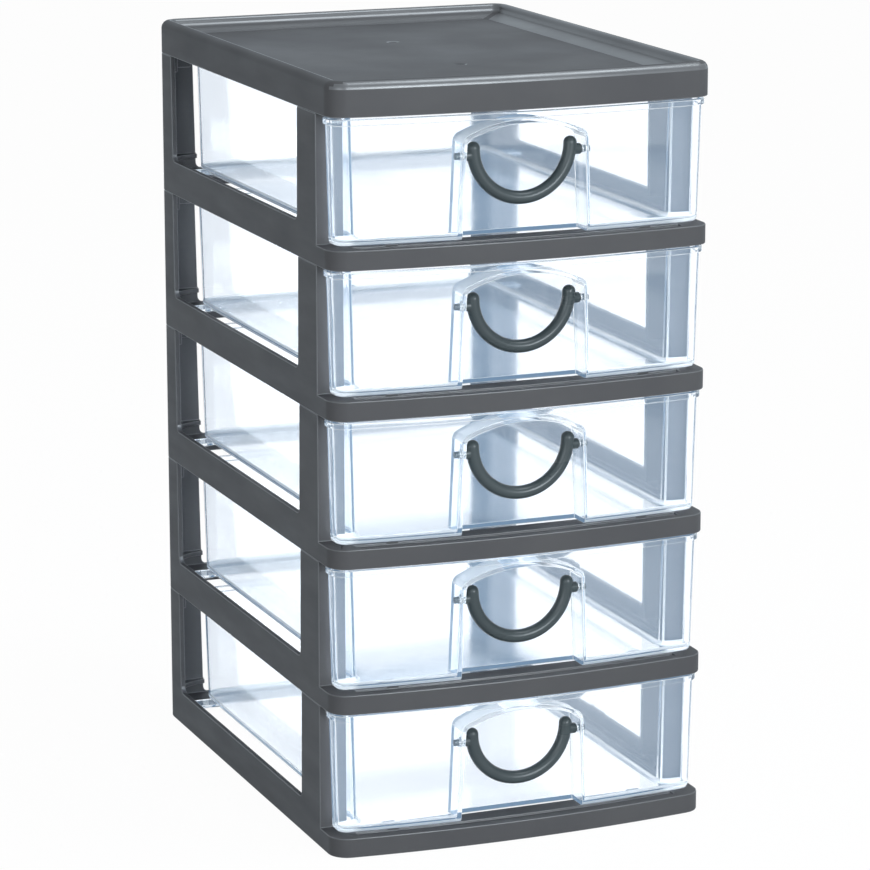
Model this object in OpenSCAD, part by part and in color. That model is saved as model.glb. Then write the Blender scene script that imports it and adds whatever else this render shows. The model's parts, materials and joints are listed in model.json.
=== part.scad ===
// Desktop drawer tower: five moulded tier frames stacked on their own corner posts,
// a tray-topped cover, and a clear drawer with a swinging bail handle in each tier.
// Millimetres. X is the width, -Y the front, +Z up. The origin is on the surface that
// the tower stands on, under the middle of its overall width and depth.

/* [Tower] */
// Overall width
tower_w = 180; // [160:1:240]
// Overall depth, from the crest of the bowed front to the back
tower_d = 242; // [190:1:320]
// Height from one tier to the next
tier_pitch = 66; // [60:1:90]
// How far the front edges bow forward over the full width
front_bow = 6; // [2:0.5:10]
// Radius of the upright corners, seen from above
corner_r = 9; // [6:0.5:14]
// Least radius of the corners of the outlines inside it
inner_corner_r = 3; // [1:0.5:4]
// Wall of the grey frame and cover mouldings
frame_wall = 2.4; // [1.8:0.1:3]

/* [Tier frame] */
// Height of the side rails
side_rail_h = 16; // [13:0.5:22]
// Height of the front lip and of the back rail
lip_h = 8.8; // [7:0.1:11]
// Thickness of the shelves and corner webs
shelf_t = 2.2; // [1.8:0.1:3]
// Depth of the front shelf behind the crest of the lip
front_shelf_d = 18.5; // [16:0.5:22]
// Depth of the back shelf
back_shelf_d = 18; // [16:0.5:26]
// Width of the flat top of the front lip
lip_top_w = 4.6; // [3.5:0.1:5.5]
// Width of the groove behind the lip
groove_w = 4; // [2:0.5:5]
// Depth of the groove behind the lip
groove_d = 1; // [0.4:0.1:1.2]
// Width of the ledge inside each side rail, where the drawer's ears run
ledge_w = 4; // [3:0.25:5]
// Height of the runners above the lip
runner_h = 0.7; // [0.4:0.1:1.2]
// Width of each runner
runner_w = 6; // [3:0.5:10]
// Distance of the runners from the middle of the tower
runner_x = 60; // [45:1:65]
// Setback of the front runners behind the groove
runner_setback = 2; // [1:0.5:4]
// Height of the stop behind the closed drawer, above the back shelf
stop_h = 4.5; // [3:0.5:8]
// Thickness of the stop
stop_t = 2.4; // [1.6:0.1:3]
// Width of the stop
stop_w = 14; // [8:1:24]
// Gap between the closed drawer and the stop
stop_gap = 0.3; // [0.2:0.05:0.5]

/* [Corner posts] */
// Setback of the front posts behind the crest of the lip
front_post_setback = 24; // [22:0.5:28]
// Width of a front post along the side
front_post_side = 24; // [16:0.5:32]
// Width of a front post across the front
front_post_face = 12.8; // [11:0.2:16]
// Width of a back post along the side
back_post_side = 21.5; // [16:0.5:28]
// Width of a back post across the back
back_post_face = 18; // [13:0.5:24]
// How much each post edge narrows from its foot to its top
post_taper = 1; // [0.4:0.1:1.6]
// Radius at the foot of the posts
foot_r = 3; // [1:0.5:5]
// Radius of the scoop in the back corner webs
web_scoop_r = 17; // [14:0.5:18]
// Height of the tenons that enter the next tier
tenon_h = 5; // [3:0.5:5.5]
// Thickness of the tenons
tenon_t = 1.6; // [1.2:0.1:2]
// Height of the thickened root below each tenon
tenon_root_h = 8; // [5:0.5:12]
// Clearance around the tenons
tenon_fit = 0.15; // [0.1:0.05:0.3]
// Setback of the tenons from the edges of their posts
tenon_setback = 2.5; // [1.6:0.1:4]

/* [Cover] */
// Height of the cover
cover_h = 15.5; // [15:0.5:22]
// Rounding of the cover's outer top edge
cover_round = 3.5; // [2:0.25:3.5]
// Width of the rim around the tray
tray_rim = 5.5; // [5.5:0.25:8]
// Rounding of the rim's inner edge
rim_round = 1.8; // [1:0.1:1.8]
// Drop from the rim to the top of the slope
tray_drop = 4.2; // [2.5:0.1:4.5]
// How far the drop leans in at its foot
tray_lean = 0.8; // [0.2:0.1:2]
// Width of the slope around the tray floor
tray_slope_w = 9; // [4:0.5:12]
// Height of the slope
tray_slope_h = 1.8; // [0.8:0.1:2]
// Thickness of the tray floor
tray_floor_t = 2.2; // [1.8:0.1:3]
// Diameter of the two gate marks in the tray floor
gate_mark_d = 6.5; // [4:0.5:10]
// Depth of the gate marks
gate_mark_depth = 0.5; // [0.2:0.1:0.8]
// Distance of the gate marks from the middle of the tray
gate_mark_y = 41; // [20:1:60]

/* [Drawer] */
// Wall of the clear drawers
drawer_wall = 1.6; // [1.2:0.1:2]
// Setback of the drawer front behind the lip
front_setback = 3; // [2.5:0.25:5]
// Setback of the drawer front's sides from the tower's sides
side_setback = 2.5; // [2:0.25:4]
// Gap between the drawer and the tier above
top_gap = 1.2; // [0.8:0.1:2]
// Gap between the drawer and its runners
runner_gap = 0.3; // [0.2:0.05:0.5]
// Gap between the tub and the front posts
post_gap = 0.8; // [0.6:0.05:1.2]
// Gap between the wide front and the face of the front posts
shoulder_gap = 3.5; // [2.5:0.25:5]
// Gap between the tub and the outside of the back rail
back_gap = 11; // [8:0.5:14]
// Inset of the walls from top to bottom
drawer_taper = 1.3; // [0.5:0.1:1.8]
// Radius of the tub's back corners
tub_r = 10; // [6:0.5:14]
// Rounding where the wide front turns in to the tub
shoulder_r = 2; // [1:0.25:2.5]
// Radius of the inside corner there
neck_r = 1.5; // [1:0.25:2]
// Rounding of the bottom edges
drawer_edge_r = 2; // [1:0.25:2.5]
// How far the top rim stands out
rim_w = 1.2; // [0.6:0.1:1.3]
// Height of the top rim
rim_h = 2.6; // [1.6:0.1:4]
// Length of the ears that run on the ledges
ear_l = 10; // [6:0.5:16]
// Gap between an ear and the side rail
ear_gap = 0.5; // [0.3:0.05:1]

/* [Handle recess] */
// Width of the recess at the foot of the drawer
recess_w = 59.2; // [54:0.2:66]
// Inset of each recess side from its foot to its shoulder
recess_taper = 1.8; // [0.5:0.1:2.5]
// Depth of the recess behind the drawer front
recess_d = 13.5; // [12:0.25:15]
// Height of the arch's shoulders above the foot of the tier
recess_shoulder_z = 53; // [51:0.5:54]
// Rise of the arch above its shoulders
arch_rise = 6.6; // [4:0.2:7]
// Rounding between the arch and the recess sides
arch_corner_r = 3; // [1.5:0.25:4]

/* [Bail handle] */
// Radius of the bail, to the middle of its bar
bail_r = 22.8; // [20:0.2:23.4]
// Diameter of the bar
bail_dia = 5.9; // [4.6:0.1:6.6]
// Height of the bail's centre above its pivot
bail_rise = 3; // [1:0.25:4]
// Height of the pivot above the foot of the tier
pivot_z = 46; // [44:0.5:47]
// Diameter of the bosses beside the recess walls
boss_dia = 4.8; // [4:0.1:5.6]
// Play between a boss and the recess wall
boss_play = 0.4; // [0.3:0.05:0.8]
// Diameter of the pivot pins
pin_dia = 3; // [2.4:0.1:3.6]
// Radial clearance of the pins in their holes
pin_fit = 0.05; // [0.03:0.01:0.1]
// How far the pins stand out inside the drawer
pin_reach = 2; // [1:0.25:3]

/* [Hidden] */
tiers = 5;
overrun = 5;            // how far cutting shapes run past what they cut
bite = 0.3;             // how far joined shapes reach into each other
arc_steps = 12;         // segments of a bowed edge
corner_steps = 6;       // segments of a rounded corner
grey = [0.37, 0.37, 0.39];
clear = [0.86, 0.91, 0.95, 0.45];
handle_grey = [0.27, 0.30, 0.31];

// Plan of the tower
half_w = tower_w / 2;
front_y = -tower_d / 2;
back_y = tower_d / 2;
bow_r = (half_w * half_w + front_bow * front_bow) / (2 * front_bow);

// Tier frame
inner_w = half_w - frame_wall;
post_front_y = front_y + front_post_setback;
post_inner_y = post_front_y + frame_wall;
window_front_y = post_front_y + front_post_side;
window_back_y = back_y - back_post_side;
front_gate = half_w - front_post_face;
back_gate = half_w - back_post_face;
shelf_z = lip_h - shelf_t;
runner_z = lip_h + runner_h;
web_z = side_rail_h - shelf_t;
web_x = half_w - back_post_face;
web_y = window_back_y;

// Drawer
box_hw = half_w - side_setback;
box_front_y = front_y + front_setback;
box_bow_r = bow_r - front_setback;
box_r = corner_r - side_setback;
shoulder_y = post_front_y - shoulder_gap;
tub_hw = front_gate - post_gap;
tub_back_y = back_y - back_gap;
drawer_z = runner_z + runner_gap;
drawer_top = tier_pitch - top_gap;
floor_z = drawer_z + drawer_wall;
ear_back_y = tub_back_y - tub_r - drawer_taper;
stop_slope_gap = drawer_taper * stop_h / (drawer_top - drawer_z);

// Recess and handle
recess_back_y = box_front_y + recess_d;
recess_foot_hw = recess_w / 2;
recess_top_hw = recess_foot_hw - recess_taper;
arch_r = (recess_top_hw * recess_top_hw + arch_rise * arch_rise) / (2 * arch_rise);
pivot_y = box_front_y + recess_d / 2;
pin_r = pin_dia / 2;
bail_bar_r = bail_dia / 2;
// Half width of the recess at a height above the foot of the tier
function recess_hw(z) =
  recess_top_hw + recess_taper * (recess_shoulder_z - z) / (recess_shoulder_z - drawer_z);
boss_end = recess_hw(pivot_z + boss_dia / 2) - boss_play;
pin_end = recess_hw(pivot_z) + drawer_wall + pin_reach;

// Points of an arc about centre c, from angle a to angle b
function arc(c, r, a, b, steps) =
  [for (i = [0:steps]) c + r * [cos(a + (b - a) * i / steps), sin(a + (b - a) * i / steps)]];

// Angle, about the centre of a bowed edge of radius bow, where it meets a corner of radius r
function meet(hw, bow, r) = -acos((hw - r) / (bow - r));

// Centre height of that corner, for a bowed edge whose crest is at y
function corner_y(hw, y, bow, r) = y + bow - sqrt(pow(bow - r, 2) - pow(hw - r, 2));

// Outline of the tower from above, moved in by i: bowed front and rounded corners
function tower_plan(i) =
  let (hw = half_w - i, y = front_y + i, bow = bow_r - i, back = back_y - i)
  let (r = max(corner_r - i, inner_corner_r))
  let (a = meet(hw, bow, r), cy = corner_y(hw, y, bow, r))
  concat(
    arc([0, y + bow], bow, -180 - a, a, arc_steps),
    arc([hw - r, cy], r, a, 0, corner_steps),
    arc([hw - r, back - r], r, 0, 90, corner_steps),
    arc([r - hw, back - r], r, 90, 180, corner_steps),
    arc([r - hw, cy], r, 180, 180 - a, corner_steps)
  );

// Outline of a drawer from above, moved in by i: a wide bowed front, then shoulders that
// step in to the tub between the front posts
function drawer_half(i) =
  let (hw = box_hw - i, y = box_front_y + i, bow = box_bow_r - i, r = box_r - i)
  let (a = meet(hw, bow, r), cy = corner_y(hw, y, bow, r))
  let (sy = shoulder_y - i, sr = max(shoulder_r - i, 0.2), nr = neck_r + i)
  let (tw = tub_hw - i, by = tub_back_y - i, tr = tub_r - i)
  concat(
    arc([0, y + bow], bow, -90, a, arc_steps / 2),
    arc([hw - r, cy], r, a, 0, corner_steps),
    arc([hw - sr, sy - sr], sr, 0, 90, 2),
    arc([tw + nr, sy + nr], nr, 270, 180, 2),
    arc([tw - tr, by - tr], tr, 0, 90, corner_steps)
  );
function mirrored(points) = [for (i = [len(points) - 1:-1:1]) [-points[i][0], points[i][1]]];
function drawer_plan(i) = concat(drawer_half(i), mirrored(drawer_half(i)));

// Outline of the recess in the drawer front, from its foot to its arch, grown by g
function recess_profile(g) =
  let (hw = recess_top_hw + g, bow = arch_r + g, r = arch_corner_r + g)
  let (crest = recess_shoulder_z + arch_rise + g, a = meet(hw, bow, r))
  let (cz = crest - bow + sqrt(pow(bow - r, 2) - pow(hw - r, 2)))
  let (low = drawer_z - overrun, foot = recess_hw(drawer_z - overrun) + g)
  concat(
    [[-foot, low], [foot, low]],
    arc([hw - r, cz], r, 0, -a, corner_steps),
    arc([0, crest - bow], bow, -a, 180 + a, arc_steps),
    arc([r - hw, cz], r, 180 + a, 180, corner_steps)
  );

// Solid through a stack of outlines with equal numbers of points, each given as [z, points]
module loft(layers) {
  n = len(layers[0][1]);
  top = len(layers) - 1;
  points = [for (layer = layers) for (p = layer[1]) [p[0], p[1], layer[0]]];
  sides = [
    for (k = [0:top - 1]) for (i = [0:n - 1])
      let (j = (i + 1) % n)
      each [
        [k * n + i, (k + 1) * n + i, (k + 1) * n + j],
        [k * n + i, (k + 1) * n + j, k * n + j]
      ]
  ];
  floor_face = [for (i = [0:n - 1]) i];
  top_face = [for (i = [n - 1:-1:0]) top * n + i];
  polyhedron(points, concat([floor_face, top_face], sides));
}

// Upright band between two insets of the tower's outline
module band(outer, inner, z, h) {
  translate([0, 0, z])
    linear_extrude(h)
      difference() {
        polygon(tower_plan(outer));
        polygon(tower_plan(inner));
      }
}

// Block from the low corner to the high corner
module block(low, high) {
  translate(low)
    cube(high - low);
}

// What follows, and its mirror image across the width
module both_sides() {
  children();
  mirror([1, 0, 0])
    children();
}

// Opening with a tapered edge and rounded lower corners, as a profile in its own plane:
// from low to high across, from the sill up
module opening_profile(low, high, sill, taper) {
  top = tier_pitch + overrun;
  grow = taper * (top - sill) / (tier_pitch - sill);
  polygon(concat(
    arc([low + foot_r, sill + foot_r], foot_r, 180, 270, corner_steps),
    arc([high - foot_r, sill + foot_r], foot_r, 270, 360, corner_steps),
    [[high + grow, top], [low - grow, top]]
  ));
}

// Thin leg of a front post, across the front: it runs from the foot of the moulding, where
// it stands on the post below, up to height h
module front_leg(h) {
  both_sides()
    translate([0, post_inner_y, 0])
      rotate([90, 0, 0])
        linear_extrude(frame_wall)
          polygon([
            [front_gate, 0],
            [half_w - bite, 0],
            [half_w - bite, h],
            [front_gate + post_taper * max(h - lip_h, 0) / (tier_pitch - lip_h), h]
          ]);
}

// Walls of a tier: the ring of rails with the four posts rising from it
module tier_walls() {
  difference() {
    band(0, frame_wall, 0, tier_pitch);
    block([-tower_w, front_y - overrun, lip_h], [tower_w, post_front_y, tier_pitch + overrun]);
    translate([-tower_w, 0, 0])
      rotate([90, 0, 90])
        linear_extrude(2 * tower_w)
          opening_profile(window_front_y, window_back_y, side_rail_h, post_taper);
    translate([0, back_y + overrun, 0])
      rotate([90, 0, 0])
        linear_extrude(corner_r + overrun)
          opening_profile(-back_gate, back_gate, lip_h, post_taper);
  }
  front_leg(tier_pitch);
}

// Shelves, ledges and runners that carry the drawer
module tier_shelves() {
  front_shelf_y = front_y + front_shelf_d;
  back_shelf_y = back_y - back_shelf_d;
  intersection() {
    translate([0, 0, shelf_z])
      linear_extrude(shelf_t)
        polygon(tower_plan(bite));
    union() {
      block([-tower_w, front_y - overrun, 0], [tower_w, front_shelf_y, tier_pitch]);
      block([-tower_w, back_shelf_y, 0], [tower_w, back_y, tier_pitch]);
      both_sides()
        block([front_gate, front_y, 0], [half_w, post_inner_y, tier_pitch]);
    }
  }
  stop_y = tub_back_y - drawer_taper + stop_gap + stop_slope_gap;
  both_sides() {
    block([inner_w - ledge_w, post_inner_y - bite, runner_z - shelf_t],
          [inner_w + bite, back_shelf_y + bite, runner_z]);
    runner_low = [runner_x - runner_w / 2, 0, lip_h - bite];
    runner_high = [runner_x + runner_w / 2, 0, runner_z];
    runner_front_y = front_y + lip_top_w + groove_w + runner_setback;
    block(runner_low + [0, runner_front_y, 0], runner_high + [0, front_shelf_y, 0]);
    block(runner_low + [0, back_shelf_y, 0], runner_high + [0, stop_y + stop_t, 0]);
  }
  block([-stop_w / 2, stop_y, lip_h - bite], [stop_w / 2, stop_y + stop_t, lip_h + stop_h]);
}

// Scooped webs that brace the back posts to the rails
module back_webs() {
  difference() {
    intersection() {
      translate([0, 0, web_z])
        linear_extrude(shelf_t)
          polygon(tower_plan(bite));
      both_sides()
        block([web_x, web_y, 0], [half_w, back_y, side_rail_h]);
    }
    both_sides()
      translate([web_x, web_y, web_z - overrun])
        cylinder(h = shelf_t + 2 * overrun, r = web_scoop_r, $fn = 48);
  }
}

// Groove along the front shelf, just behind the lip
module lip_groove() {
  intersection() {
    band(lip_top_w, lip_top_w + groove_w, lip_h - groove_d, groove_d + overrun);
    block([-front_gate, front_y, 0], [front_gate, front_y + front_shelf_d, tier_pitch]);
  }
}

// Tenons on top of the posts, with their thickened roots
module tenons() {
  outer = frame_wall + tenon_fit;
  inner = outer + tenon_t;
  root_z = tier_pitch - tenon_root_h;
  back_x = back_gate + tenon_setback;
  back_start = window_back_y + tenon_setback;
  intersection() {
    union() {
      band(frame_wall - bite, inner, root_z, tenon_root_h);
      band(outer, inner, tier_pitch - bite, tenon_h + bite);
    }
    both_sides()
      block([back_x, back_start, 0], [half_w, back_y, 2 * tier_pitch]);
  }
  side_end = window_front_y - tenon_setback;
  face_start = front_gate + tenon_setback;
  both_sides() {
    block([half_w - inner, post_inner_y - bite, root_z], [inner_w + bite, side_end, tier_pitch]);
    block([half_w - inner, post_inner_y + tenon_fit, tier_pitch - bite],
          [half_w - outer, side_end, tier_pitch + tenon_h]);
    block([face_start, post_inner_y - bite, root_z],
          [inner_w + bite, post_inner_y + tenon_fit + tenon_t, tier_pitch]);
    block([face_start, post_inner_y + tenon_fit, tier_pitch - bite],
          [half_w - outer, post_inner_y + tenon_fit + tenon_t, tier_pitch + tenon_h]);
  }
}

// One-piece frame of a tier: rails, shelves and four upright posts
module tier_frame(tier) {
  color(grey)
    translate([0, 0, (tier - 1) * tier_pitch])
      difference() {
        union() {
          tier_walls();
          tier_shelves();
          back_webs();
          tenons();
        }
        lip_groove();
      }
}

// Shallow dishes that the mould's gates leave in the tray floor
module gate_marks(floor_top) {
  dish_r = (gate_mark_d * gate_mark_d / 4 + gate_mark_depth * gate_mark_depth) / (2 * gate_mark_depth);
  for (y = [-gate_mark_y, gate_mark_y])
    translate([0, y, floor_top + dish_r - gate_mark_depth])
      sphere(dish_r, $fn = 96);
}

// Cover: a skirt that seats on the top tier's posts, and a rimmed tray with sloping sides
module top_cover() {
  rim_top = cover_h;
  slope_top = rim_top - tray_drop;
  floor_top = slope_top - tray_slope_h;
  slope_i = tray_rim + tray_lean;
  shoulder = [
    for (a = [0:22.5:90])
      [rim_top - cover_round * (1 - sin(a)), tower_plan(cover_round * (1 - cos(a)))]
  ];
  rim_edge = [
    for (a = [0:22.5:90])
      [rim_top - rim_round * (1 - sin(a)), tower_plan(tray_rim - rim_round * (1 - cos(a)))]
  ];
  color(grey)
    translate([0, 0, tiers * tier_pitch]) {
      difference() {
        loft(concat([[0, tower_plan(0)]], shoulder));
        translate([0, 0, -overrun])
          linear_extrude(floor_top - tray_floor_t + overrun)
            polygon(tower_plan(frame_wall));
        loft(concat(
          [
            [floor_top, tower_plan(slope_i + tray_slope_w)],
            [slope_top, tower_plan(slope_i)]
          ],
          rim_edge,
          [[rim_top + overrun, tower_plan(tray_rim - rim_round)]]
        ));
        gate_marks(floor_top);
      }
      front_leg(floor_top - tray_floor_t + bite);
    }
}

// Rounded bottom edge and straight taper of a drawer, outside or inside, as loft layers
function drawer_layers(z, wall, top_z) =
  let (r = drawer_edge_r, i = drawer_taper + wall)
  [
    [z, drawer_plan(i + r)],
    [z + r * (1 - cos(45)), drawer_plan(i + r * (1 - sin(45)))],
    [z + r, drawer_plan(i)],
    [top_z, drawer_plan(wall)]
  ];

// Recess outline as a solid that runs in from the front to depth y
module recess_prism(g, y) {
  translate([0, y, 0])
    rotate([90, 0, 0])
      linear_extrude(y - front_y + overrun)
        polygon(recess_profile(g));
}

// Ears at the back of the tub, which run on the ledges and stop at the front posts
module ears() {
  both_sides()
    block([tub_hw - drawer_taper - drawer_wall, ear_back_y - ear_l, drawer_z],
          [inner_w - ear_gap, ear_back_y, drawer_z + drawer_wall]);
}

// Clear drawer: a tub that runs between the posts, with a wide front that covers them
module drawer(tier) {
  rim_z = drawer_top - rim_h;
  shell = concat(
    drawer_layers(drawer_z, 0, rim_z),
    [[rim_z, drawer_plan(-rim_w)], [drawer_top, drawer_plan(-rim_w)]]
  );
  color(clear)
    translate([0, 0, (tier - 1) * tier_pitch]) {
      difference() {
        loft(shell);
        difference() {
          loft(drawer_layers(floor_z, drawer_wall, drawer_top + overrun));
          recess_prism(drawer_wall, recess_back_y + drawer_wall);
        }
        recess_prism(0, recess_back_y);
        translate([-pin_end, pivot_y, pivot_z])
          rotate([0, 90, 0])
            cylinder(h = 2 * pin_end, r = pin_r + pin_fit, $fn = 32);
      }
      ears();
    }
}

// Bail handle: a half-round bar with a boss and a pivot pin at each end
module handle(tier) {
  color(handle_grey)
    translate([0, pivot_y, (tier - 1) * tier_pitch + pivot_z]) {
      translate([0, 0, bail_rise])
        rotate([90, 0, 0])
          rotate([0, 0, 180])
            rotate_extrude(angle = 180, $fn = 72)
              translate([bail_r, 0])
                circle(bail_bar_r, $fn = 24);
      both_sides() {
        translate([bail_r, 0, bail_rise])
          sphere(bail_bar_r, $fn = 24);
        translate([bail_r, 0, 0])
          rotate([0, 90, 0])
            cylinder(h = boss_end - bail_r, r = boss_dia / 2, $fn = 32);
        translate([bail_r, 0, 0])
          rotate([0, 90, 0])
            cylinder(h = pin_end - bail_r, r = pin_r, $fn = 32);
      }
    }
}

tier_frame(1);  // tier_frame_1
tier_frame(2);  // tier_frame_2
tier_frame(3);  // tier_frame_3
tier_frame(4);  // tier_frame_4
tier_frame(5);  // tier_frame_5
top_cover();
drawer(1);  // drawer_1
drawer(2);  // drawer_2
drawer(3);  // drawer_3
drawer(4);  // drawer_4
drawer(5);  // drawer_5
handle(1);  // handle_1
handle(2);  // handle_2
handle(3);  // handle_3
handle(4);  // handle_4
handle(5);  // handle_5
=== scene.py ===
import json
import math

import bmesh
import bpy
from mathutils import Matrix, Vector


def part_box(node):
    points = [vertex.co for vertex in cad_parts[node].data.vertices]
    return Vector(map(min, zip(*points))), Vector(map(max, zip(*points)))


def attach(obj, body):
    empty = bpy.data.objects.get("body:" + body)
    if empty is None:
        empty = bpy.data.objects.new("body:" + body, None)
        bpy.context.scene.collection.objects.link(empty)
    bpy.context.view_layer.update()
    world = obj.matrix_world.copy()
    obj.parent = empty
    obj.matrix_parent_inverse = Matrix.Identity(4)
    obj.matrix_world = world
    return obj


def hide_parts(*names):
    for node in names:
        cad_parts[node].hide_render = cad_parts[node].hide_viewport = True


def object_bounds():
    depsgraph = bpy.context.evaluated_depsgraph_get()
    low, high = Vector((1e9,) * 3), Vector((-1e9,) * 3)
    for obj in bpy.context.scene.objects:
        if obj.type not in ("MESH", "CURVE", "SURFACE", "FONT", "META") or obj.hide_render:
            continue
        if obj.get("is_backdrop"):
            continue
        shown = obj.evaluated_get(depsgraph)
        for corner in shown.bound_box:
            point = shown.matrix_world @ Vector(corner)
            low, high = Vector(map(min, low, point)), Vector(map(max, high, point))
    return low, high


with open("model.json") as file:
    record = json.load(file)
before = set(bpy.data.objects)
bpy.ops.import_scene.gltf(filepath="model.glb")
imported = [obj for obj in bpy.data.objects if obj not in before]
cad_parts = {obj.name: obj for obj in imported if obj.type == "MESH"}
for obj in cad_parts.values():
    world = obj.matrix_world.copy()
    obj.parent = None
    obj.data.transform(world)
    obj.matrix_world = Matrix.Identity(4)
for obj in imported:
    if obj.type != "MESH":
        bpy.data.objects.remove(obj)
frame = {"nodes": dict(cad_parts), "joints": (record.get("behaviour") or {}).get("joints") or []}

scene = bpy.context.scene
scene.view_settings.view_transform = "Standard"
cad_low, cad_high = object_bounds()


# --- Camera -------------------------------------------------------------------------------
# A long lens in front of the tower's left-hand front corner, looking a little down on the
# tray, so that the front, one open side and the cover all show.
camera_place = Vector((-0.649, -1.615, 0.57))
camera_turn = math.radians(22.03)
camera_tilt = math.radians(13.26)
focal_length = 158

camera_data = bpy.data.cameras.new("camera")
camera_data.sensor_width = 36
camera_data.lens = focal_length
camera_data.clip_end = 50
camera = bpy.data.objects.new("camera", camera_data)
camera.location = camera_place
camera.rotation_euler = (math.pi / 2 - camera_tilt, 0, -camera_turn)
scene.collection.objects.link(camera)
scene.camera = camera


# --- Floor, world and lamps ----------------------------------------------------------------
# A plain pale floor under white surroundings. Eyes, gloss and clear plastic see the
# surroundings as white, and the lamps alone shape the object.
floor_radius = 6
floor_white = (0.93, 0.93, 0.93, 1)
floor_glow = 0.97
world_level = 0.38
white = (1, 1, 1, 1)
cool_white = (0.86, 0.94, 1.0)
cool_shine = (0.8, 0.91, 1.0, 1)


def arithmetic(tree, operation, first, second):
    """One sum on two values of a shader tree, held between 0 and 1."""
    node = tree.nodes.new("ShaderNodeMath")
    node.operation = operation
    node.use_clamp = True
    tree.links.new(first, node.inputs[0])
    tree.links.new(second, node.inputs[1])
    return node.outputs[0]


def ramp(tree, value, low, high, to_low, to_high):
    """The value between low and high, spread over to_low and to_high."""
    node = tree.nodes.new("ShaderNodeMapRange")
    node.inputs["From Min"].default_value = low
    node.inputs["From Max"].default_value = high
    node.inputs["To Min"].default_value = to_low
    node.inputs["To Max"].default_value = to_high
    tree.links.new(value, node.inputs["Value"])
    return node.outputs["Result"]


def blend_colours(tree, factor, first, second):
    """A colour that runs from the first to the second as the factor rises."""
    node = tree.nodes.new("ShaderNodeMix")
    node.data_type = "RGBA"
    node.inputs["A"].default_value = first
    node.inputs["B"].default_value = second
    tree.links.new(factor, node.inputs["Factor"])
    return node.outputs["Result"]


def one_or_other(tree, factor, first, second):
    """The first shader where the factor is 0 and the second where it is 1, as the surface."""
    node = tree.nodes.new("ShaderNodeMixShader")
    tree.links.new(factor, node.inputs[0])
    tree.links.new(first.outputs[0], node.inputs[1])
    tree.links.new(second.outputs[0], node.inputs[2])
    tree.links.new(node.outputs[0], tree.nodes["Material Output"].inputs["Surface"])


def seen_directly(tree):
    """1 where a camera, glossy or transmission ray looks, 0 for light that bounces on."""
    ray = tree.nodes.new("ShaderNodeLightPath").outputs
    seen = arithmetic(tree, "MAXIMUM", ray["Is Camera Ray"], ray["Is Glossy Ray"])
    return arithmetic(tree, "MAXIMUM", seen, ray["Is Transmission Ray"])


def white_or_cool(tree):
    """White where the background is seen, and the cool white of the studio in reflections."""
    ray = tree.nodes.new("ShaderNodeLightPath").outputs
    mirrored = arithmetic(tree, "SUBTRACT", ray["Is Glossy Ray"], ray["Is Transmission Ray"])
    return blend_colours(tree, mirrored, white, cool_shine)


def new_material(name):
    """An empty material, with its shader tree and its Principled shader."""
    material = bpy.data.materials.new(name)
    material.use_nodes = True
    tree = material.node_tree
    return material, tree, tree.nodes["Principled BSDF"]


def new_object(name, shape, *skins):
    """A finished bmesh as an object of the scene, with its materials."""
    mesh = bpy.data.meshes.new(name)
    shape.to_mesh(mesh)
    shape.free()
    for skin in skins:
        mesh.materials.append(skin)
    piece = bpy.data.objects.new(name, mesh)
    scene.collection.objects.link(piece)
    return piece


floor_paper, tree, paper = new_material("floor_paper")
paper.inputs["Base Color"].default_value = floor_white
paper.inputs["Roughness"].default_value = 0.9
paper.inputs["Specular IOR Level"].default_value = 0.1
glow = tree.nodes.new("ShaderNodeEmission")
tree.links.new(white_or_cool(tree), glow.inputs["Color"])
one_or_other(tree, ramp(tree, seen_directly(tree), 0, 1, 0, floor_glow), paper, glow)

floor_disc = bmesh.new()
bmesh.ops.create_circle(floor_disc, cap_ends=True, segments=64, radius=floor_radius)
floor = new_object("floor", floor_disc, floor_paper)
floor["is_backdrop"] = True

world = bpy.data.worlds.new("studio")
world.use_nodes = True
tree = world.node_tree
room = tree.nodes["Background"]
tree.links.new(white_or_cool(tree), room.inputs["Color"])
tree.links.new(ramp(tree, seen_directly(tree), 0, 1, world_level, 1), room.inputs["Strength"])
scene.world = world


def softbox(name, place, size, watts):
    """Square area lamp aimed at the middle of the tower."""
    data = bpy.data.lights.new(name, "AREA")
    data.energy = watts
    data.size = size
    data.color = cool_white
    lamp = bpy.data.objects.new(name, data)
    lamp.location = place
    middle = Vector((0, 0, cad_high.z / 2))
    lamp.rotation_euler = (middle - Vector(place)).to_track_quat("-Z", "Y").to_euler()
    scene.collection.objects.link(lamp)


softbox("lamp_front", (0.45, -2.2, 0.65), size=0.8, watts=33)
softbox("lamp_left", (-1.35, -1.6, 0.5), size=1.0, watts=10)
softbox("lamp_top", (0.53, -0.39, 1.59), size=0.65, watts=13)


# --- Tier frames ---------------------------------------------------------------------------
# Each tier is one grey injection moulding: rails, shelves and four posts. It pushes down
# over the tenons of the tier below, and its edges are left slightly rounded by the mould.
MM = 0.001
TIERS = 5
frame_edge = 0.35 * MM                    # radius left on the edges of a frame
frame_sharp = 28                          # degrees past which an edge is rounded
smooth_past_sharp = 24                    # degrees more before the shading breaks at an edge
weld = 1e-6                               # points as near as this are one
flat_within = math.radians(0.03)          # faces as near to one plane as this are one
least_lean, most_lean = 0.12, 0.985       # the share of its normal that points up or down
front_turn = -0.5                         # a normal whose y is below this looks to the front
frame_grey = (0.07, 0.0685, 0.07, 1)
frame_grey_deep = (0.06, 0.059, 0.062, 1)
smear_stretch = (1, 1, 5)                 # flow marks lie level, five times finer in height
flow_scale = 22
grain_depth = 0.1 * MM
noise_span = (0.3, 0.7)                   # noise values over which tone and gloss change
gloss_spread = (-0.05, 0.07)              # how far the roughness strays from its own value
satin_ior = 1.5


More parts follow.
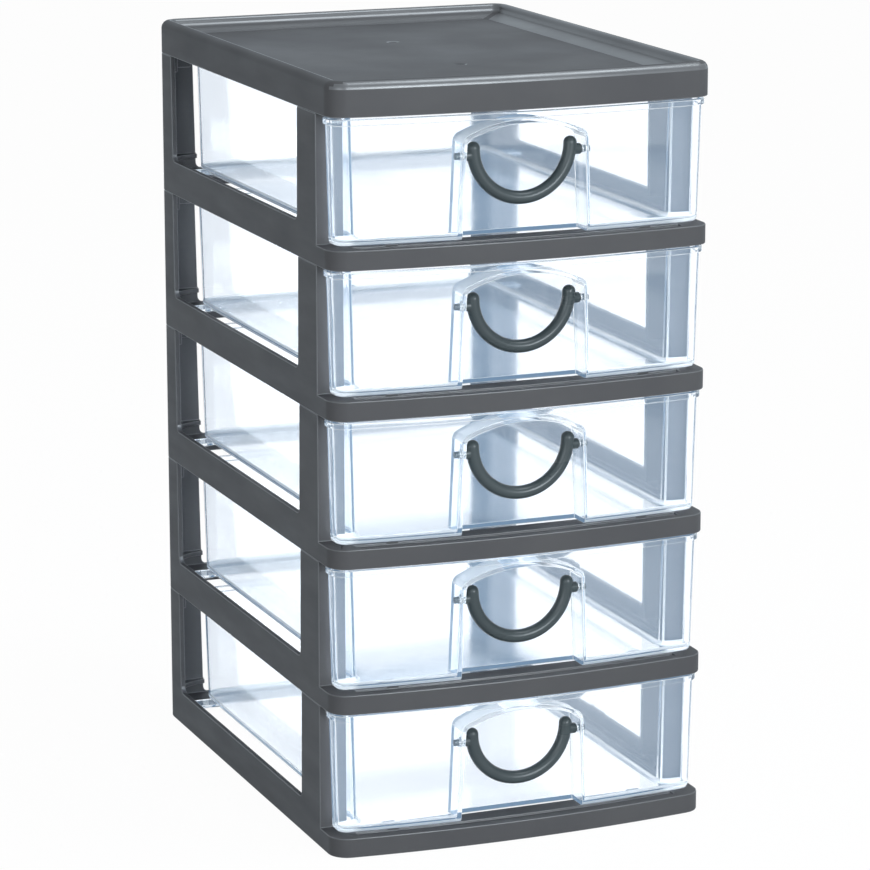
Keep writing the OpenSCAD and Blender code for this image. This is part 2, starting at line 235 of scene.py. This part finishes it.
def moulded(node, name, edge, skins, sharp=frame_sharp, cut_y=(0,), front_only=True):
    """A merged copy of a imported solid, with its sharp edges rounded by a small radius.
    Ring-shaped flats are first parted on the middle planes, so that each stays one plain face.
    A second skin goes on the rounded edges and on faces that lean: all of them, or only the
    front shoulders and the slopes that face inward."""
    shape = bmesh.new()
    shape.from_mesh(frame["nodes"][node].data)
    bmesh.ops.remove_doubles(shape, verts=shape.verts, dist=weld)
    planes = [((0, 0, 0), (1, 0, 0))] + [((0, y, 0), (0, 1, 0)) for y in cut_y]
    for point, normal in planes:
        whole = shape.verts[:] + shape.edges[:] + shape.faces[:]
        parts = bmesh.ops.bisect_plane(shape, geom=whole, dist=weld, plane_co=point,
                                       plane_no=normal)
        for part in parts["geom_cut"]:
            if isinstance(part, bmesh.types.BMEdge):
                part.seam = True
    bmesh.ops.dissolve_limit(shape, angle_limit=flat_within, verts=shape.verts,
                             edges=shape.edges, delimit={"NORMAL", "SEAM"})
    spans = [[vert.co[axis] for vert in shape.verts] for axis in range(3)]
    box = [(min(span), max(span)) for span in spans]
    corners = [side for side in shape.edges
               if side.is_manifold and side.calc_face_angle() > math.radians(sharp)]
    rounded = bmesh.ops.bevel(shape, geom=corners, offset=edge, offset_type="OFFSET",
                              affect="EDGES", segments=2, profile=0.5, clamp_overlap=False,
                              material=-1)
    for vert in shape.verts:
        vert.co = [min(max(place, least), most) for place, (least, most) in zip(vert.co, box)]
    shape.normal_update()
    for face in shape.faces:
        middle = face.calc_center_median()
        inward = middle.x * face.normal.x + middle.y * face.normal.y < 0
        leans = least_lean < abs(face.normal.z) < most_lean
        wanted = not front_only or inward or face.normal.y < front_turn
        face.material_index = int(len(skins) > 1 and leans and wanted)
    for face in rounded["faces"]:
        face.material_index = len(skins) - 1
    piece = new_object(name, shape, *skins)
    piece.data.shade_smooth()
    piece.data.set_sharp_from_angle(angle=math.radians(sharp + smooth_past_sharp))
    even = piece.modifiers.new("even_shading", "WEIGHTED_NORMAL")
    even.keep_sharp = True
    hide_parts(node)
    return piece


def grain_group():
    """Spark-eroded mould grain: a fine pebble for the normal, and slow changes of tone."""
    group = bpy.data.node_groups.new("mould_grain", "ShaderNodeTree")
    sockets = group.interface
    for name in ("Grain Scale", "Flow Scale"):
        sockets.new_socket(name=name, in_out="INPUT", socket_type="NodeSocketFloat")
    for name in ("Grain", "Flow", "Smear"):
        sockets.new_socket(name=name, in_out="OUTPUT", socket_type="NodeSocketFloat")
    given = group.nodes.new("NodeGroupInput")
    made = group.nodes.new("NodeGroupOutput")
    place = group.nodes.new("ShaderNodeTexCoord")
    pebble = group.nodes.new("ShaderNodeTexNoise")
    pebble.inputs["Detail"].default_value = 3
    flow = group.nodes.new("ShaderNodeTexNoise")
    flow.inputs["Detail"].default_value = 4
    flow.inputs["Roughness"].default_value = 0.6
    stretch = group.nodes.new("ShaderNodeMapping")
    stretch.inputs["Scale"].default_value = smear_stretch
    smear = group.nodes.new("ShaderNodeTexNoise")
    smear.inputs["Detail"].default_value = 5
    link = group.links.new
    for noise in (pebble, flow):
        link(place.outputs["Object"], noise.inputs["Vector"])
    link(place.outputs["Object"], stretch.inputs["Vector"])
    link(stretch.outputs[0], smear.inputs["Vector"])
    link(given.outputs["Grain Scale"], pebble.inputs["Scale"])
    link(given.outputs["Flow Scale"], flow.inputs["Scale"])
    link(given.outputs["Flow Scale"], smear.inputs["Scale"])
    link(pebble.outputs["Fac"], made.inputs["Grain"])
    link(flow.outputs["Fac"], made.inputs["Flow"])
    link(smear.outputs["Fac"], made.inputs["Smear"])
    return group


mould_grain = grain_group()


def bumps(tree, height, strength, depth):
    """A normal that follows the height, where a height of 1 stands out by the depth."""
    node = tree.nodes.new("ShaderNodeBump")
    node.inputs["Strength"].default_value = strength
    node.inputs["Distance"].default_value = depth
    tree.links.new(height, node.inputs["Height"])
    return node.outputs["Normal"]


def satin_plastic(name, colour, deep, rough, shine, grain_scale=2600, bump=0.05):
    """Moulded plastic in one colour, with a fine grain and slow changes of tone and gloss."""
    material, tree, skin = new_material(name)
    grain = tree.nodes.new("ShaderNodeGroup")
    grain.node_tree = mould_grain
    grain.inputs["Grain Scale"].default_value = grain_scale
    grain.inputs["Flow Scale"].default_value = flow_scale
    tone = ramp(tree, grain.outputs["Flow"], *noise_span, 0, 1)
    tree.links.new(blend_colours(tree, tone, deep, colour), skin.inputs["Base Color"])
    glossiest, dullest = (rough + spread for spread in gloss_spread)
    gloss = ramp(tree, grain.outputs["Smear"], *noise_span, glossiest, dullest)
    tree.links.new(gloss, skin.inputs["Roughness"])
    pebble = bumps(tree, grain.outputs["Grain"], bump, grain_depth)
    tree.links.new(pebble, skin.inputs["Normal"])
    skin.inputs["IOR"].default_value = satin_ior
    skin.inputs["Specular IOR Level"].default_value = shine
    return material


frame_plastic = satin_plastic("frame_plastic", frame_grey, frame_grey_deep, rough=0.52, shine=0.15)
edge_plastic = satin_plastic("frame_edge_plastic", frame_grey, frame_grey_deep, rough=0.35,
                             shine=0.95, bump=0.02)
frame_skins = [frame_plastic, edge_plastic]
for tier in range(1, TIERS + 1):
    moulding = moulded(f"tier_frame_{tier}", f"frame_moulding_{tier}", frame_edge, frame_skins)
    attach(moulding, "tower")


# --- Post legs -----------------------------------------------------------------------------
# Each front post is a channel, moulded with its frame. Its second leg stands across the tower
# beside the side window, and shows through the ends of the drawers as a wide band.
leg_w, leg_t, leg_h = 9.6 * MM, 2.4 * MM, 48.8 * MM
leg_from_side = 2 * MM
leg_from_front = 44.8 * MM
leg_from_foot = 16 * MM
for tier in range(1, TIERS + 1):
    legs = bmesh.new()
    low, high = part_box(f"tier_frame_{tier}")
    for side in (-1, 1):
        middle = Vector((side * (high.x - leg_from_side - leg_w / 2),
                         low.y + leg_from_front + leg_t / 2,
                         low.z + leg_from_foot + leg_h / 2))
        reach = Matrix.Diagonal((leg_w, leg_t, leg_h, 1))
        bmesh.ops.create_cube(legs, size=1, matrix=Matrix.Translation(middle) @ reach)
    bmesh.ops.bevel(legs, geom=legs.edges[:], offset=frame_edge, affect="EDGES", segments=2,
                    profile=0.5, material=-1)
    leg_pair = new_object(f"post_legs_{tier}", legs, frame_plastic)
    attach(leg_pair, "tower")


# --- Cover ---------------------------------------------------------------------------------
# The cover is moulded in the same grey, with a rounded shoulder round a shallow tray. It
# pushes down over the tenons of the top frame.
cover_edge = 0.4 * MM
cover_sharp = 80
cover = moulded("top_cover", "cover_moulding", cover_edge, frame_skins, sharp=cover_sharp)
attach(cover, "tower")


# --- Drawers -------------------------------------------------------------------------------
# Clear polystyrene tubs, moulded in one shot. The thick corners and the recess walls catch the
# light, and a faint painted blue glow on the plastic turns what stands behind it blue-grey.
drawer_edge = 0.3 * MM
pivot_y = next(joint["pos_m"][1] for joint in frame["joints"] if joint["type"] == "hinge")
clear_tint = (0.995, 0.998, 1.0, 1)
clear_clarity = 1.0
clear_rough = 0.05
# painted glow: the colour and strength of the blue light the clear plastic gives off of its own,
# which blues the dark parts behind it
painted_glow_blue = (0.43, 0.68, 1.0, 1)
clear_painted_glow = 0.06
edge_tint = (0.93, 0.945, 0.955, 1)
edge_clarity = 0.6
edge_rough = 0.12
# painted glow: the edge skin gives off none
edge_painted_glow = 0
clear_ior = 1.35
ripple_scale = 30
ripple_span = (0.3, 0.75)
ripple_strength = 0.05
ripple_depth = 0.4 * MM
clear_shadow = (0.97, 0.98, 0.99, 1)


def clear_plastic_material(name, tint, clarity, rough, painted_glow):
    """Clear plastic with slight ripples and a painted blue glow of the given strength, which lets
    lamps shine through to what is behind.
    """
    material, tree, body = new_material(name)
    body.inputs["Base Color"].default_value = tint
    body.inputs["Transmission Weight"].default_value = clarity
    body.inputs["IOR"].default_value = clear_ior
    # painted glow: the plastic gives off a little blue light of its own, with no lamp behind it
    body.inputs["Emission Color"].default_value = painted_glow_blue
    body.inputs["Emission Strength"].default_value = painted_glow
    grain = tree.nodes.new("ShaderNodeGroup")
    grain.node_tree = mould_grain
    grain.inputs["Flow Scale"].default_value = ripple_scale
    gloss = ramp(tree, grain.outputs["Smear"], *ripple_span, rough / 2, rough * 2)
    tree.links.new(gloss, body.inputs["Roughness"])
    ripple = bumps(tree, grain.outputs["Flow"], ripple_strength, ripple_depth)
    tree.links.new(ripple, body.inputs["Normal"])
    lets_light = tree.nodes.new("ShaderNodeBsdfTransparent")
    lets_light.inputs["Color"].default_value = clear_shadow
    ray = tree.nodes.new("ShaderNodeLightPath").outputs
    one_or_other(tree, ray["Is Shadow Ray"], body, lets_light)
    return material


clear_plastic = clear_plastic_material("clear_plastic", clear_tint, clear_clarity, clear_rough,
                                       clear_painted_glow)
clear_edge = clear_plastic_material("clear_edge_plastic", edge_tint, edge_clarity, edge_rough,
                                    edge_painted_glow)
for tier in range(1, TIERS + 1):
    tub = moulded(f"drawer_{tier}", f"drawer_tub_{tier}", drawer_edge, [clear_plastic, clear_edge],
                  cut_y=(0, pivot_y), front_only=False)
    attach(tub, f"drawer_{tier}")


# --- Bail handles --------------------------------------------------------------------------
# Dark half-round bails of moulded plastic. The bar swells a little towards the middle, and a
# boss and a pin at each end snap into the walls of the drawer's recess.
bail_edge = 0.3 * MM
bail_sharp = 40
bail_grey = (0.042, 0.053, 0.055, 1)
bail_grey_deep = (0.03, 0.039, 0.041, 1)
bail_plastic = satin_plastic("bail_plastic", bail_grey, bail_grey_deep, rough=0.3, shine=0.4,
                             grain_scale=3200, bump=0.04)
for tier in range(1, TIERS + 1):
    bail = moulded(f"handle_{tier}", f"bail_handle_{tier}", bail_edge, [bail_plastic],
                   sharp=bail_sharp)
    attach(bail, f"handle_{tier}")


# --- Size of the finished scene ------------------------------------------------------------
# The box of the finished scene. The box of the imported solids was taken at the start.
low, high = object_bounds()
